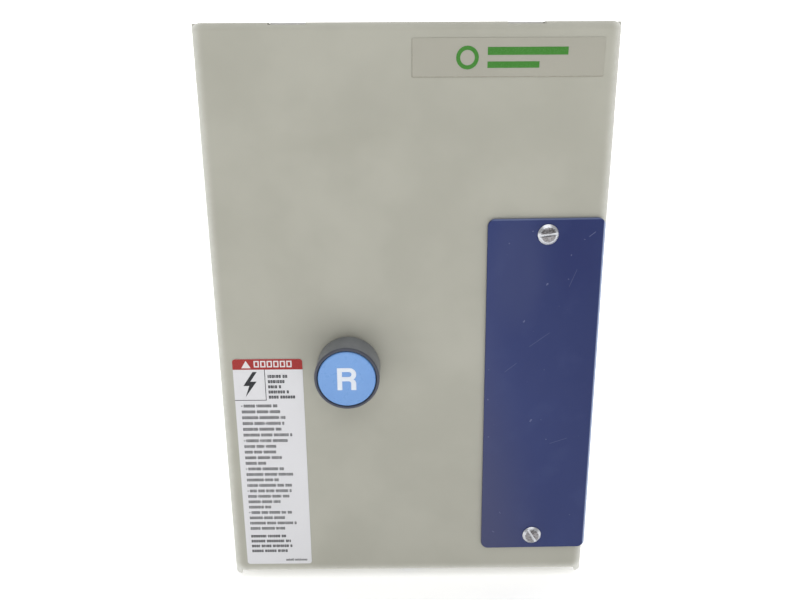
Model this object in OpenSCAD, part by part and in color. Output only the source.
// Wall-mounted magnetic motor starter. X right, Y to the back, Z up.
// The origin is on the rear face, midway between the four wall holes.

/* [Cover] */
// Width of the front cover, in mm
cover_w = 181; // [180:1:200]
// Depth from the rear face to the cover's front, in mm
depth = 150; // [148:1:170]
// Thickness of the sheet steel, in mm
sheet = 1.5; // [1.2:0.1:1.6]
// Outside radius of the cover's bends, in mm
bend_r = 3.5; // [3:0.1:4]
// Depth of the cover's side flanges, in mm
flange_d = 42; // [25:1:60]
// Height of the cover's two rear slots' front edge above the bend's axis, in mm
slot_edge = 2.4; // [2.3:0.1:2.9]
// How far the blue plate hangs off square, in degrees
plate_tilt = 0.5; // [0:0.1:0.6]

/* [Reset button] */
// Sideways position of the button, in mm
button_x = -28.1; // [-28.3:0.1:-28]
// Radius of the dark bezel, in mm
bezel_r = 15; // [14.8:0.1:16]
// Radius of the blue cap, in mm
cap_r = 13.3; // [12:0.1:13.3]
// Travel of the button, in mm
press_travel = 5; // [3:0.1:5]

/* [Contactor] */
// Distance between neighbouring poles, in mm
pole_pitch = 27; // [26:0.5:27]
// Half width of a contact strip, in mm
strip_half = 4.5; // [3.5:0.1:4.5]
// Air gap of the magnet at rest, in mm
magnet_gap = 5.2; // [5.1:0.1:6]
// Gap between open contacts, in mm
contact_gap = 5.1; // [5.1:0.1:5.6]

/* [Hidden] */
floor_z = -137.5;
cover_x = cover_w / 2;
cover_z = [4.1, 274.5];
front_y = -depth;
bend_y = front_y + bend_r;
inner_r = bend_r - sheet;
pivot_z = cover_z[1] - bend_r;
box_x = cover_x - sheet - 0.5;
box_z = [0, cover_z[1]];
box_front = bend_y + 0.5;
wall_front = bend_y + 9.3;
strip_top = cover_z[1] - sheet - 0.6;
lip_z = cover_z[0] + sheet + 0.5;
riser_y = bend_y + 13;
tongue_x = 50.4;
button_z = 120.7;
plate_x = 63.4;
plate_z = 105.3;
plate_screw_z = [27, 184];
hole_x = 65;
hole_z = [25, 250];
panel_x = 67;
panel_z = [52, 208];
centre_x = -15;
magnet_z = 190;
poles = [centre_x - pole_pitch, centre_x, centre_x + pole_pitch];
arc_screws = [[-56.5, 175], [26.5, 205]];
coil_tab_x = [centre_x - 13.5, centre_x + 13.5];
foot_x = [-64.8, 34.8];
strip_y = [-80, -78];
line_screw_z = 228;
load_screw_z = 152;
heater_screw_z = [83, 117];
motor_screw_z = 71;
core_face = -48;
bridge_y = -81.2 - contact_gap - 2.1;
paint = [0.69, 0.69, 0.64];
plate_blue = [0.25, 0.27, 0.44];
button_blue = [0.51, 0.67, 0.89];
dark = [0.2, 0.21, 0.23];
moulding = [0.13, 0.12, 0.12];
brown = [0.32, 0.17, 0.11];
zinc = [0.74, 0.75, 0.76];
lamination = [0.45, 0.46, 0.48];
copper = [0.78, 0.45, 0.28];
brass_col = [0.8, 0.66, 0.36];
spring_col = [0.6, 0.61, 0.63];
white = [0.86, 0.86, 0.87];

// Box from three spans; z counts up from the underside of the box.
module span(x, y, z)
  translate([x[0], y[0], z[0] + floor_z])
    cube([x[1] - x[0], y[1] - y[0], z[1] - z[0]]);

// Round bars along Y, Z and X.
module yrod(x, z, y, r, n = 64)
  translate([x, y[0], z + floor_z])
    rotate([-90, 0, 0])
      cylinder(r = r, h = y[1] - y[0], $fn = n);

module zrod(x, y, z, r, n = 64)
  translate([x, y, z[0] + floor_z])
    cylinder(r = r, h = z[1] - z[0], $fn = n);

module xrod(y, z, x, r, n = 64)
  translate([x[0], y, z + floor_z])
    rotate([0, 90, 0])
      cylinder(r = r, h = x[1] - x[0], $fn = n);

module rounded(x, z, r) {
  translate([x[0] + r, z[0]]) square([x[1] - x[0] - 2 * r, z[1] - z[0]]);
  translate([x[0], z[0] + r]) square([x[1] - x[0], z[1] - z[0] - 2 * r]);
  for (cx = [x[0] + r, x[1] - r], cz = [z[0] + r, z[1] - r])
    translate([cx, cz]) circle(r = r, $fn = 48);
}

// Flat tile facing the front, with rounded corners.
module ytile(x, z, y, r)
  translate([0, y[1], floor_z])
    rotate([90, 0, 0])
      linear_extrude(y[1] - y[0])
        rounded(x, z, r);

// Slotted screw driven from the front: head, shank and slot.
module slotted_screw(x, z, head_y, head_h, head_r, shank_r, shank_end, turn = 0)
  difference() {
    union() {
      yrod(x, z, [head_y - head_h, head_y], head_r);
      yrod(x, z, [head_y - head_h / 2, shank_end], shank_r);
    }
    translate([x, head_y - head_h, z + floor_z])
      rotate([0, turn, 0])
        translate([-head_r - 1, -1, -head_r * 0.13])
          cube([2 * head_r + 2, 1 + head_h * 0.45, head_r * 0.26]);
  }

// Tube swept along points, one ring a point.
function unit(v) = v / norm(v);
function way(p, i) = unit(p[min(i + 1, len(p) - 1)] - p[max(i - 1, 0)]);
function ring(p, i, r, n, up) =
  let (t = way(p, i), a = unit(cross(t, up)), b = cross(t, a))
  [for (k = [0:n - 1]) p[i] + r * (cos(360 * k / n) * a + sin(360 * k / n) * b)];

module tube(p, r, n, up) {
  rings = len(p);
  skin = [for (i = [0:rings - 2], k = [0:n - 1], half = [0, 1])
    half == 0 ? [i * n + k, i * n + (k + 1) % n, (i + 1) * n + (k + 1) % n]
              : [i * n + k, (i + 1) * n + (k + 1) % n, (i + 1) * n + k]];
  first = [for (k = [0:n - 1]) n - 1 - k];
  last = [for (k = [0:n - 1]) (rings - 1) * n + k];
  translate([0, 0, floor_z])
    polyhedron(
      points = [for (i = [0:rings - 1]) each ring(p, i, r, n, up)],
      faces = concat(skin, [first], [last])
    );
}

// Coil spring along Y.
module spring(x, z, y, coil_r, wire_r, turns, steps = 10) {
  count = turns * steps;
  low = y[0] + wire_r * 1.1;
  high = y[1] - wire_r * 1.1;
  tube(
    [for (i = [0:count])
      [x + coil_r * cos(360 * i / steps), low + (high - low) * i / count,
       z + coil_r * sin(360 * i / steps)]],
    wire_r, 6, [0, 1, 0]
  );
}

// Corner points of a route, each softened into an arc of the radius given.
function leg_in(p, i, r) = p[i] - unit(p[i] - p[i - 1]) * r;
function leg_out(p, i, r) = p[i] + unit(p[i + 1] - p[i]) * r;
function soft(p, r) = concat(
  [p[0]],
  [for (i = [1:len(p) - 2], t = [0:0.25:1])
    (1 - t) * (1 - t) * leg_in(p, i, r) + 2 * t * (1 - t) * p[i] + t * t * leg_out(p, i, r)],
  [p[len(p) - 1]]
);

module knockout(x, y, z, out) {
  for (r = [10.7, 13.7])
    difference() {
      zrod(x, y, [min(z, z + out), max(z, z + out)], r + 0.5);
      zrod(x, y, [min(z, z + out) - 1, max(z, z + out) + 1], r);
    }
}

// The front edges are cut back where the cover's bends and returns run.
module box_shell()
  difference() {
    span([-box_x, box_x], [box_front, 0], box_z);
    span([-box_x + sheet, box_x - sheet], [box_front - 1, -sheet], [sheet, box_z[1] - sheet]);
    span([-box_x + sheet, box_x - sheet], [box_front - 1, wall_front],
         [box_z[1] - sheet - 1, box_z[1] + 1]);
    span([-box_x - 1, box_x + 1], [box_front - 1, bend_y + bend_r + 0.5],
         [pivot_z - bend_r - 0.5, box_z[1] + 1]);
    span([-box_x - 1, box_x + 1], [box_front - 1, riser_y], [-1, lip_z]);
  }

module enclosure_box() color(paint)
  difference() {
    union() {
      box_shell();
      span([-box_x + 0.5, box_x - 0.5], [riser_y, riser_y + sheet], [0.5, lip_z + sheet]);
      span([-box_x + 0.5, box_x - 0.5], [box_front, riser_y + sheet], [lip_z, lip_z + sheet]);
      for (x = [-tongue_x, tongue_x]) {
        span([x - 7.4, x + 7.4], [bend_y + 2.4, wall_front + 0.5], [box_z[1] - sheet, box_z[1]]);
        span([x - 7.4, x + 7.4], [bend_y + 4, bend_y + 5.5], [pivot_z - 1.5, box_z[1]]);
      }
      for (x = [-panel_x, panel_x], z = panel_z)
        yrod(x, z, [-9, -sheet], 6);
    }
    span([-2.6, 2.6], [box_front - 1, bend_y + 6.5], [lip_z - 1, lip_z + sheet + 1]);
    zrod(0, bend_y + 6.5, [lip_z - 1, lip_z + sheet + 1], 2.6);
    for (x = [-hole_x, hole_x], z = hole_z)
      yrod(x, z, [-sheet - 1, 1], 3.5);
    for (x = [-panel_x, panel_x], z = panel_z)
      yrod(x, z, [-10, -3], 2.1);
    for (x = [-45, 45]) {
      knockout(x, -60, box_z[1] + 1, -1.8);
      knockout(x, -60, -1, 1.8);
    }
  }

module mounting_plate() color(zinc)
  difference() {
    ytile([-76, 76], [42, 236], [-11, -9], 4);
    for (x = [-panel_x, panel_x], z = panel_z)
      yrod(x, z, [-12, -8], 2.1);
    for (x = foot_x, z = [98, 156, 224])
      yrod(x, z, [-12, -8], 2.1);
    yrod(56, 55, [-12, -8], 2.1);
  }

module panel_screws() color(zinc)
  for (x = [-panel_x, panel_x], z = panel_z)
    slotted_screw(x, z, -11, 2.4, 4.2, 2, -4, 20);

module ground_lug() color(copper)
  difference() {
    span([50, 62], [-23, -11], [48, 62]);
    zrod(56, -17.5, [47, 63], 3);
    yrod(56, 55, [-24, -10], 2.1);
  }

module ground_screw() color([0.2, 0.45, 0.24])
  slotted_screw(56, 55, -23, 2.4, 4, 2, -7, 35);

module starter_screws() color(zinc)
  for (x = foot_x) {
    for (z = [156, 224])
      slotted_screw(x, z, -15, 2.2, 3.6, 2, -6, 65);
    slotted_screw(x, 98, -14, 2.2, 3.6, 2, -5, 10);
  }

module contactor_base() color(moulding)
  difference() {
    union() {
      span([-60, 30], [-78, -11], [142, 238]);
      for (x = foot_x, z = [156, 224])
        span([x - 4.8, x + 4.8], [-15, -11], [z - 6, z + 6]);
      for (x = coil_tab_x, s = [-1, 1])
        span([x + s * 6.7 - 0.8, x + s * 6.7 + 0.8], [-90, -77], [216, 238]);
      for (x = coil_tab_x)
        span([x - 1.5, x + 1.5], [-90, -77], [142, 164]);
      for (x = [-60, 28])
        span([x, x + 2], [-90, -77], [216, 238]);
      for (x = [-60, 28])
        span([x, x + 2], [-90, -77], [142, 164]);
    }
    span([-53, 23], [-79, -14], [165, 215]);
    for (z = [146, 219])
      span([-56, 26], [-60, -10], [z, z + 15]);
    for (x = foot_x, z = [156, 224])
      yrod(x, z, [-16, -10], 2.1);
    for (x = poles, z = [load_screw_z, line_screw_z])
      yrod(x, z, [-79, -64], 2.1);
    for (x = coil_tab_x)
      yrod(x, 230, [-79, -68], 1.6);
    for (p = arc_screws)
      yrod(p[0], p[1], [-79, -66], 1.6);
    span([22, 31], [-79, -62], [186, 194]);
    for (z = [176, 204])
      xrod(-45, z, [24, 31], 1.6);
  }

module magnet_core() color(lamination)
  difference() {
    union() {
      span([-45, 15], [-26, -14], [180, 200]);
      for (x = [-45, 7])
        span([x, x + 8], [core_face, -25], [180, 200]);
      span([-23, -7], [core_face + 0.3, -25], [180, 200]);
    }
    for (x = [-41.8, 10.2])
      span([x, x + 1.6], [core_face - 1, core_face + 2.6], [179, 201]);
  }

// Each ring goes through the pole's slot and round its outer half.
module shading_rings() color(copper)
  for (s = [-1, 1])
    translate([centre_x, 0, 0])
      difference() {
        span([s > 0 ? 25.4 : -31.4, s > 0 ? 31.4 : -25.4], [core_face + 0.9, core_face + 2.4],
             [178.2, 201.8]);
        span([s > 0 ? 26.8 : -30.1, s > 0 ? 30.1 : -26.8], [core_face, core_face + 3],
             [179.9, 200.1]);
      }

module coil_bobbin() color([0.88, 0.87, 0.82])
  difference() {
    union() {
      span([-24.8, -5.2], [-47, -27], [178.2, 201.8]);
      span([-36.5, 6.5], [-28.5, -27], [166.5, 213.5]);
      span([-36.5, 6.5], [-47, -45.5], [166.5, 213.5]);
    }
    span([-23.3, -6.7], [-48, -26.5], [179.7, 200.3]);
  }

module coil_winding() color([0.55, 0.2, 0.12])
  difference() {
    ytile([-36, 6], [167, 213], [-45.5, -28.5], 6);
    span([-24.8, -5.2], [-46, -28], [178.2, 201.8]);
  }

module coil_terminals() color(brass_col)
  for (x = coil_tab_x)
    difference() {
      union() {
        span([x - 3, x + 3], [-79.2, -78], [213.5, 236]);
        span([x - 3, x + 3], [-79.2, -45.5], [213.5, 214.7]);
      }
      yrod(x, 230, [-80, -77], 1.6);
    }

module contact_strip(x, z, tip_z, screw_z)
  difference() {
    union() {
      span([x - strip_half, x + strip_half], strip_y, z);
      yrod(x, tip_z, [-81.2, -79.5], 3.2);
    }
    yrod(x, screw_z, [-81, -77], 2.1);
  }

module line_contacts() color(copper)
  for (x = poles)
    contact_strip(x, [203, 237], 207, line_screw_z);

module load_contacts() color(copper)
  for (x = poles)
    contact_strip(x, [143, 177], 173, load_screw_z);

module arc_cover() color(brown)
  difference() {
    union() {
      span([-60, 30], [-106, -80], [165.5, 214.5]);
      for (x = [-60, 23])
        span([x, x + 7], [-81, -78], [168.5, 211.5]);
    }
    span([-53, 23], [-103, -77], [168.5, 211.5]);
    ytile([-23, -7], [186, 194], [-107, -102], 3.9);
    for (p = arc_screws)
      yrod(p[0], p[1], [-107, -77], 1.6);
  }

module arc_cover_screws() color(zinc)
  for (p = arc_screws)
    slotted_screw(p[0], p[1], -106, 2, 3.1, 1.5, -68, 80);

module return_springs() color(spring_col)
  for (x = [-49.6, 19.6])
    spring(x, magnet_z, [-71, -14], 2.4, 0.45, 14, 8);

module terminal_screws() color(zinc) {
  for (x = poles) {
    slotted_screw(x, line_screw_z, -81.2, 2.6, 3.9, 2, -65, 15);
    slotted_screw(x, load_screw_z, -83.2, 2.6, 3.9, 2, -65, 40);
    slotted_screw(x, motor_screw_z, -83.2, 2.6, 3.9, 2, -65, 75);
  }
}

// Square pressure plates under the terminal screws.
module clamp(x, z, y)
  difference() {
    span([x - 4.3, x + 4.3], [y - 1.2, y], [z - 4.3, z + 4.3]);
    yrod(x, z, [y - 2, y + 1], 2.1);
  }

module wire_clamps() color(zinc)
  for (x = poles) {
    clamp(x, line_screw_z, -80);
    clamp(x, load_screw_z, -82);
    clamp(x, motor_screw_z, -82);
  }

module control_screws() color(zinc) {
  for (x = coil_tab_x)
    slotted_screw(x, 230, -79.2, 2, 2.9, 1.5, -69, 30);
  for (x = coil_tab_x)
    slotted_screw(x, 71, -81.2, 2, 2.9, 1.5, -71, 50);
  for (z = [175, 205])
    slotted_screw(37, z, -79.2, 2, 2.9, 1.5, -69, 5);
}

module connecting_straps() color(copper)
  for (x = poles)
    difference() {
      span([x - 4.3, x + 4.3], [-82, -80], [111.5, 158]);
      for (z = [load_screw_z, heater_screw_z[1]])
        yrod(x, z, [-83, -79], 2.1);
    }

module overload_base() color(moulding)
  difference() {
    union() {
      span([-60, 30], [-14, -11], [62, 136]);
      for (x = foot_x)
        span([x - 4.8, x + 4.8], [-14, -11], [92, 104]);
      yrod(button_x, button_z, [-40, -13], 4.5);
    }
    for (x = foot_x)
      yrod(x, 98, [-15, -10], 2.1);
  }

module overload_housing() color(moulding)
  difference() {
    union() {
      span([-60, 30], [-80, -14], [62, 136]);
      for (x = coil_tab_x)
        span([x - 1.5, x + 1.5], [-90, -79], [80, 108]);
    }
    span([-56, 26], [-60, -13], [66, 132]);
    for (x = poles)
      span([x - 6.5, x + 6.5], [-81, -64], [89, 111]);
    for (x = poles, z = [motor_screw_z, heater_screw_z[0], heater_screw_z[1]])
      yrod(x, z, [-81, -64], 2.1);
    for (x = coil_tab_x)
      yrod(x, 71, [-81, -70], 1.6);
    yrod(button_x, button_z, [-81, -59], 4.1);
  }

module thermal_units() color([0.62, 0.6, 0.56])
  for (x = poles) {
    difference() {
      union() {
        span([x - 3.9, x + 3.9], [-83.5, -82], [108.5, 121.5]);
        span([x - 3.9, x + 3.9], [-83.5, -82], [78.5, 91.5]);
      }
      for (z = heater_screw_z)
        yrod(x, z, [-84, -81], 2.1);
    }
    span([x - 3.9, x + 3.9], [-83, -68], [108.5, 110]);
    span([x - 3.9, x + 3.9], [-83, -68], [90, 91.5]);
    zrod(x, -72, [90.5, 109.5], 3.2);
    for (z = [93.5:3:106])
      zrod(x, -72, [z, z + 1.6], 4.6);
  }

module thermal_unit_screws() color(zinc)
  for (x = poles, z = heater_screw_z)
    slotted_screw(x, z, -83.5, 2.2, 3.5, 2, -66, 25);

module bimetal_strips() color(brass_col)
  for (x = poles)
    span([x - 3, x + 3], [-59, -57.8], [66, 108]);

module trip_bar() color(brown)
  difference() {
    span([-54, 24], [-57.5, -52], [98, 104]);
    for (x = [-28, -1])
      span([x - 4, x + 4], [-58, -55], [97, 105]);
  }

module trip_switch() color([0.2, 0.2, 0.22]) {
  span([-18, 18], [-50, -32], [68, 90]);
  span([-4, 4], [-52, -49], [84, 100]);
}

module trip_terminals() color(brass_col)
  for (x = coil_tab_x)
    difference() {
      span([x - 3.5, x + 3.5], [-81.2, -80], [63, 77]);
      yrod(x, 71, [-82, -79], 1.6);
    }

module overload_terminals() color(copper)
  for (x = poles)
    difference() {
      span([x - strip_half, x + strip_half], [-82, -80], [63, 88.5]);
      for (z = [motor_screw_z, heater_screw_z[0]])
        yrod(x, z, [-83, -79], 2.1);
    }

module overload_reset_spring() color(spring_col)
  spring(button_x, button_z, [-55, -40], 3.2, 0.5, 6);

module auxiliary_block() color(moulding)
  difference() {
    span([30, 44], [-78, -34], [168, 212]);
    span([32.5, 41.5], [-76, -60], [171, 209]);
    span([29, 33], [-79, -62], [186, 194]);
    span([32.5, 41.5], [-79, -60], [183, 197]);
    for (z = [175, 205])
      yrod(37, z, [-79, -68], 1.6);
    for (z = [176, 204])
      xrod(-45, z, [29, 45], 1.6);
  }

module auxiliary_contacts() color(brass_col)
  for (s = [-1, 1])
    translate([0, 0, 190 + floor_z])
      mirror([0, 0, s < 0 ? 1 : 0])
        translate([0, 0, -floor_z])
          difference() {
            union() {
              span([33.5, 40.5], [-79.2, -78], [6, 20]);
              span([33.5, 40.5], [-79.2, -65.6], [5.8, 7]);
              span([33.5, 40.5], [-66.8, -65.6], [3.2, 7]);
            }
            yrod(37, 15, [-80, -77], 1.6);
          }

module auxiliary_block_screws() color(zinc)
  for (z = [176, 204])
    translate([44, -45, z + floor_z])
      difference() {
        union() {
          rotate([0, 90, 0]) cylinder(r = 2.9, h = 1.8, $fn = 48);
          translate([-19, 0, 0]) rotate([0, 90, 0]) cylinder(r = 1.5, h = 20, $fn = 48);
        }
        translate([1, -4, -0.4]) cube([2, 8, 0.8]);
      }

module coil_wire() color([0.7, 0.15, 0.12])
  tube(soft([
    [coil_tab_x[0], -79.6, 236], [coil_tab_x[0], -79.6, 247], [-76, -79.6, 247],
    [-76, -60, 240], [-76, -60, 60], [-60, -81.6, 50], [coil_tab_x[0], -81.6, 50],
    [coil_tab_x[0], -81.6, 63]
  ], 5), 1.3, 8, [0.31, 0.52, 0.79]);

module auxiliary_wire() color([0.75, 0.62, 0.12])
  tube(soft([
    [coil_tab_x[1], -79.6, 236], [coil_tab_x[1], -79.6, 246], [37, -79.6, 246],
    [37, -79.6, 210]
  ], 5), 1.3, 8, [0.31, 0.52, 0.79]);

module holding_wire() color([0.15, 0.2, 0.6])
  tube(soft([
    [37, -79.6, 170], [37, -79.6, 60], [28, -81.6, 50], [coil_tab_x[1], -81.6, 50],
    [coil_tab_x[1], -81.6, 63]
  ], 5), 1.3, 8, [0.31, 0.52, 0.79]);

armature_face = core_face - magnet_gap;

module armature() color(lamination)
  difference() {
    union() {
      span([-45, 15], [-71, armature_face - 9], [180, 200]);
      for (x = [-45, 7])
        span([x, x + 8], [armature_face - 10, armature_face], [180, 200]);
      span([-23, -7], [armature_face - 10, armature_face], [180, 200]);
    }
    zrod(centre_x, -67, [179, 201], 2.05);
  }

module armature_pin() color(zinc)
  zrod(centre_x, -67, [176.5, 203.5], 2);

module contact_carrier() color(brown)
  difference() {
    union() {
      span([-52.3, 22.3], [-76, -71], [177, 203]);
      for (z = [177, 200.1])
        span([-21, -9], [-72, -63], [z, z + 2.9]);
      span([-50, 20], [-100, -75], [181, 199]);
      span([20, 38.5], [-76, -73], [188, 192]);
    }
    for (x = poles)
      span([x - 5.5, x + 5.5], [-98, bridge_y], [170, 210]);
    zrod(centre_x, -67, [176, 204], 2.05);
  }

module movable_contacts() color(copper)
  for (x = poles) {
    span([x - strip_half, x + strip_half], [bridge_y - 1.5, bridge_y], [170, 210]);
    for (z = [173, 207])
      yrod(x, z, [bridge_y - 0.5, bridge_y + 2.1], 3.2);
  }

module contact_springs() color(spring_col)
  for (x = poles)
    spring(x, magnet_z, [-98, bridge_y - 1.5], 2.8, 0.4, 4);

module auxiliary_bridge() color(copper)
  span([34, 38.5], [-73, -71.9], [184.8, 195.2]);

module reset_plunger() color([0.75, 0.2, 0.16]) {
  yrod(button_x, button_z, [-96, -57], 4);
  yrod(button_x, button_z, [-59.5, -55], 6);
}

// Half of the cover's channel section, in X and Y.
module channel_section() {
  difference() {
    union() {
      translate([0, front_y]) square([cover_x - bend_r, sheet]);
      translate([cover_x - sheet, bend_y]) square([sheet, flange_d - bend_r]);
      translate([cover_x - bend_r, bend_y]) circle(r = bend_r, $fn = 64);
    }
    translate([cover_x - bend_r, bend_y]) circle(r = inner_r, $fn = 64);
    translate([cover_x - 3 * bend_r, bend_y]) square([3 * bend_r - sheet, bend_r + 1]);
    translate([cover_x - 3 * bend_r, front_y + sheet]) square([2 * bend_r, 2 * bend_r]);
  }
}

// Bend and turned-in edge along the cover's top or bottom, in Y and Z from the bend's axis.
module edge_section(reach)
  difference() {
    union() {
      circle(r = bend_r, $fn = 64);
      translate([0, inner_r]) square([reach, sheet]);
    }
    circle(r = inner_r, $fn = 64);
    translate([-bend_r - 1, -bend_r - 1]) square([3 * bend_r, bend_r + 1]);
    translate([0, -1]) square([bend_r + 1, inner_r + 1]);
  }

module edge(half_x)
  rotate([90, 0, 90])
    translate([0, 0, -half_x])
      linear_extrude(2 * half_x)
        children();

// The top return steps down and runs in under the box's top.
module step_section()
  translate([0, -pivot_z]) {
    translate([7, strip_top - sheet]) square([1.5, cover_z[1] - strip_top + sheet]);
    translate([7, strip_top - sheet]) square([8, sheet]);
  }

module corner()
  intersection() {
    difference() {
      sphere(r = bend_r, $fn = 48);
      sphere(r = inner_r, $fn = 48);
    }
    translate([0, -2 * bend_r, 0]) cube(2 * bend_r);
  }

module front_cover() color(paint)
  difference() {
    union() {
      translate([0, 0, cover_z[0] + bend_r + floor_z])
        for (s = [0, 1])
          mirror([s, 0, 0])
            linear_extrude(cover_z[1] - cover_z[0] - 2 * bend_r)
              channel_section();
      translate([0, bend_y, pivot_z + floor_z])
        edge(cover_x - bend_r) {
          edge_section(8.5);
          step_section();
        }
      translate([0, bend_y, cover_z[0] + bend_r + floor_z])
        mirror([0, 0, 1])
          edge(cover_x - bend_r)
            edge_section(10.5);
      for (s = [0, 1])
        mirror([s, 0, 0])
          translate([cover_x - bend_r, bend_y, pivot_z + floor_z])
            corner();
      for (s = [0, 1])
        mirror([s, 0, 0])
          translate([0, 0, cover_z[0] + floor_z])
            linear_extrude(bend_r)
              intersection() {
                channel_section();
                translate([cover_x - bend_r, bend_y - bend_r]) square([bend_r, bend_r + 10.5]);
              }
      for (s = [0, 1])
        mirror([s, 0, 0])
          span([cover_x - 1, cover_x + 0.35], [bend_y + 1, bend_y + 30], [258.5, cover_z[1] - 0.2]);
    }
    for (x = [-tongue_x, tongue_x])
      span([x - 8, x + 8], [bend_y - sqrt(bend_r * bend_r - slot_edge * slot_edge), bend_y + 8.6],
           [strip_top, cover_z[1] + 1]);
    for (s = [0, 1])
      mirror([s, 0, 0])
        span([box_x - sheet - 0.5, box_x], [bend_y, bend_y + 20],
             [strip_top - sheet - 1, cover_z[1] + 1]);
    ytile([plate_x - 19, plate_x + 19], [40, 171], [front_y - 1, front_y + 3], 4);
    for (z = plate_screw_z)
      yrod(plate_x, z, [front_y - 1, front_y + 3], 2.6);
    yrod(button_x, button_z, [front_y - 1, front_y + 3], 11.2);
    zrod(0, bend_y + 6.5, [3, 8], 2.15);
  }

module cover_screw() color(zinc)
  difference() {
    union() {
      zrod(0, bend_y + 6.5, [cover_z[0] - 1.5, cover_z[0]], 4.4);
      zrod(0, bend_y + 6.5, [cover_z[0] - 0.7, 13.5], 2.05);
    }
    span([-5, 5], [bend_y + 6, bend_y + 7], [0, cover_z[0] - 0.8]);
  }

module cover_screw_nut() color(zinc)
  difference() {
    zrod(0, bend_y + 6.5, [8.6, 11.6], 4.6, 6);
    zrod(0, bend_y + 6.5, [8, 12], 2.1);
  }

module closing_plate() color(plate_blue)
  difference() {
    translate([plate_x, 0, plate_z + floor_z])
      rotate([0, -plate_tilt, 0])
        translate([-plate_x, 0, -plate_z - floor_z])
          ytile([plate_x - 26.5, plate_x + 26.5], [plate_z - 86, plate_z + 86],
                [front_y - 1.5, front_y], 3.5);
    for (z = plate_screw_z)
      yrod(plate_x, z, [front_y - 3, front_y + 1], 2.6);
  }

// Pan head as a slice of a ball, with its slot.
module plate_screws() color(zinc)
  for (i = [0, 1])
    translate([plate_x, front_y - 1.5, plate_screw_z[i] + floor_z])
      difference() {
        union() {
          intersection() {
            translate([0, 3.6, 0]) sphere(r = 5.95, $fn = 64);
            translate([0, -4, 0]) rotate([-90, 0, 0]) cylinder(r = 6, h = 4, $fn = 64);
          }
          translate([0, -0.5, 0]) rotate([-90, 0, 0]) cylinder(r = 2.4, h = 11, $fn = 48);
        }
        rotate([0, i > 0 ? -7 : 60, 0])
          translate([-6, -4, -0.6])
            cube([12, 2.9, 1.2]);
      }

module plate_nuts() color(zinc)
  for (z = plate_screw_z)
    difference() {
      yrod(plate_x, z, [front_y + sheet, front_y + sheet + 4], 5.5, 6);
      yrod(plate_x, z, [front_y + 1, front_y + sheet + 5], 2.45);
    }

module name_label() color([0.68, 0.67, 0.62])
  span([2, 83.5], [front_y - 0.25, front_y], [252, 267.8]);

module hazard_label() color(white)
  ytile([-83.7, -50.3], [9.7, 124.3], [front_y - 0.2, front_y], 1.5);

module button_bezel() color(dark)
  difference() {
    union() {
      yrod(button_x, button_z, [front_y - 17, front_y - 1], bezel_r, 96);
      yrod(button_x, button_z, [front_y - 2, front_y + 9], 11, 96);
    }
    yrod(button_x, button_z, [front_y - 18, front_y - 3], bezel_r - 1.35, 96);
    yrod(button_x, button_z, [front_y - 4, front_y + 10], 3.1);
  }

module button_gasket() color([0.08, 0.08, 0.08])
  difference() {
    yrod(button_x, button_z, [front_y - 1, front_y], bezel_r - 0.7, 96);
    yrod(button_x, button_z, [front_y - 2, front_y + 1], 11.1, 96);
  }

module button_nut() color(dark)
  difference() {
    yrod(button_x, button_z, [front_y + sheet, front_y + sheet + 4.5], 14.5, 96);
    yrod(button_x, button_z, [front_y + 1, front_y + sheet + 5], 11, 96);
    for (a = [0:60:300])
      translate([button_x, front_y + sheet + 2, button_z + floor_z])
        rotate([0, a, 0])
          translate([13.4, -1, -1.5])
            cube([3, 5, 3]);
  }

module button_spring() color(spring_col)
  spring(button_x, button_z, [front_y - 14.4, front_y - 3], 5.2, 0.5, 5);

module legend_shape() {
  difference() {
    union() {
      square([5.6, 10.8]);
      translate([5.6, 7.6]) circle(r = 3.2, $fn = 48);
    }
    translate([2.2, -1]) square([5, 5.4]);
    translate([2.2, 6.5]) square([3.2, 2.2]);
    translate([5.4, 7.6]) circle(r = 1.1, $fn = 32);
  }
  polygon([[5.2, 5.6], [7, 5.4], [8.2, 4.6], [8.7, 3.4], [8.7, 0], [6.4, 0], [6.4, 3.3], [6, 4.2], [5.2, 4.6]]);
}

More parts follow.
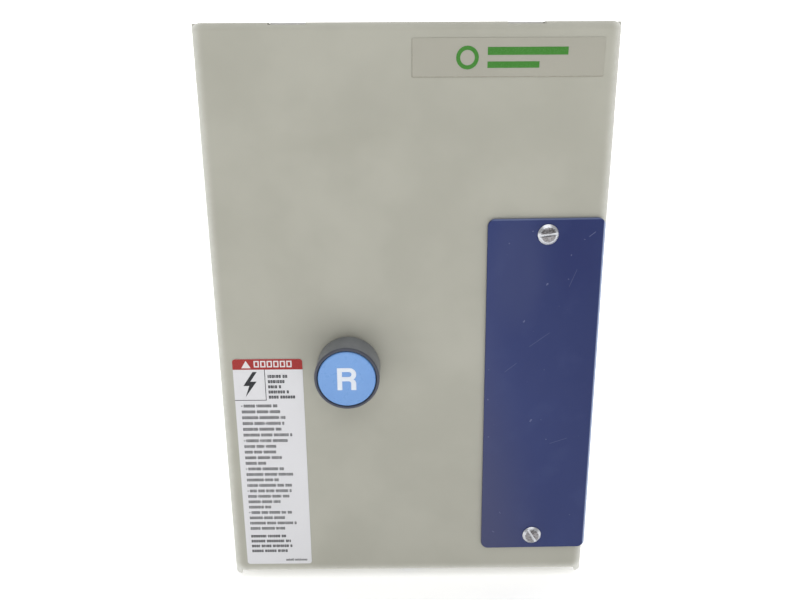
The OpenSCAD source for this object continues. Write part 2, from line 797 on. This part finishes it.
module legend_solid(y)
  translate([button_x - 4.4, y[1], button_z - 5.7 + floor_z])
    rotate([90, 0, 0])
      linear_extrude(y[1] - y[0])
        legend_shape();

// Hollow of the cap's face, a slice of a large ball.
module dish()
  translate([button_x, front_y - 17 - 95 + 0.8, button_z + floor_z])
    rotate([-90, 0, 0])
      rotate_extrude($fn = 96)
        intersection() {
          circle(r = 95, $fn = 720);
          translate([0, 90]) square([20, 10]);
        }

module button_cap() color(button_blue)
  difference() {
    union() {
      yrod(button_x, button_z, [front_y - 17, front_y - 14.4], cap_r, 96);
      difference() {
        yrod(button_x, button_z, [front_y - 15, front_y - 8.5], cap_r, 96);
        yrod(button_x, button_z, [front_y - 16, front_y - 8], cap_r - 1.6, 96);
      }
      difference() {
        yrod(button_x, button_z, [front_y - 15, front_y - 9.5], 4.4);
        yrod(button_x, button_z, [front_y - 14.4, front_y - 9], 2.95);
      }
    }
    dish();
    legend_solid([front_y - 18, front_y - 15.4]);
  }

module button_legend() color(white)
  difference() {
    legend_solid([front_y - 17, front_y - 15.4]);
    dish();
  }

module reset_rod() color(zinc) {
  yrod(button_x, button_z, [front_y - 14.4, -97.5], 2.9);
  yrod(button_x, button_z, [-99, -96.5], 3.6);
}

enclosure_box();
mounting_plate();
panel_screws();
ground_lug();
ground_screw();
starter_screws();
contactor_base();
magnet_core();
shading_rings();
coil_bobbin();
coil_winding();
coil_terminals();
line_contacts();
load_contacts();
arc_cover();
arc_cover_screws();
return_springs();
terminal_screws();
wire_clamps();
control_screws();
connecting_straps();
overload_base();
overload_housing();
thermal_units();
thermal_unit_screws();
bimetal_strips();
trip_bar();
trip_switch();
trip_terminals();
overload_terminals();
overload_reset_spring();
auxiliary_block();
auxiliary_contacts();
auxiliary_block_screws();
coil_wire();
auxiliary_wire();
holding_wire();
armature();
armature_pin();
contact_carrier();
movable_contacts();
contact_springs();
auxiliary_bridge();
reset_plunger();
front_cover();
cover_screw();
cover_screw_nut();
closing_plate();
plate_screws();
plate_nuts();
name_label();
hazard_label();
button_bezel();
button_gasket();
button_nut();
button_spring();
button_cap();
button_legend();
reset_rod();
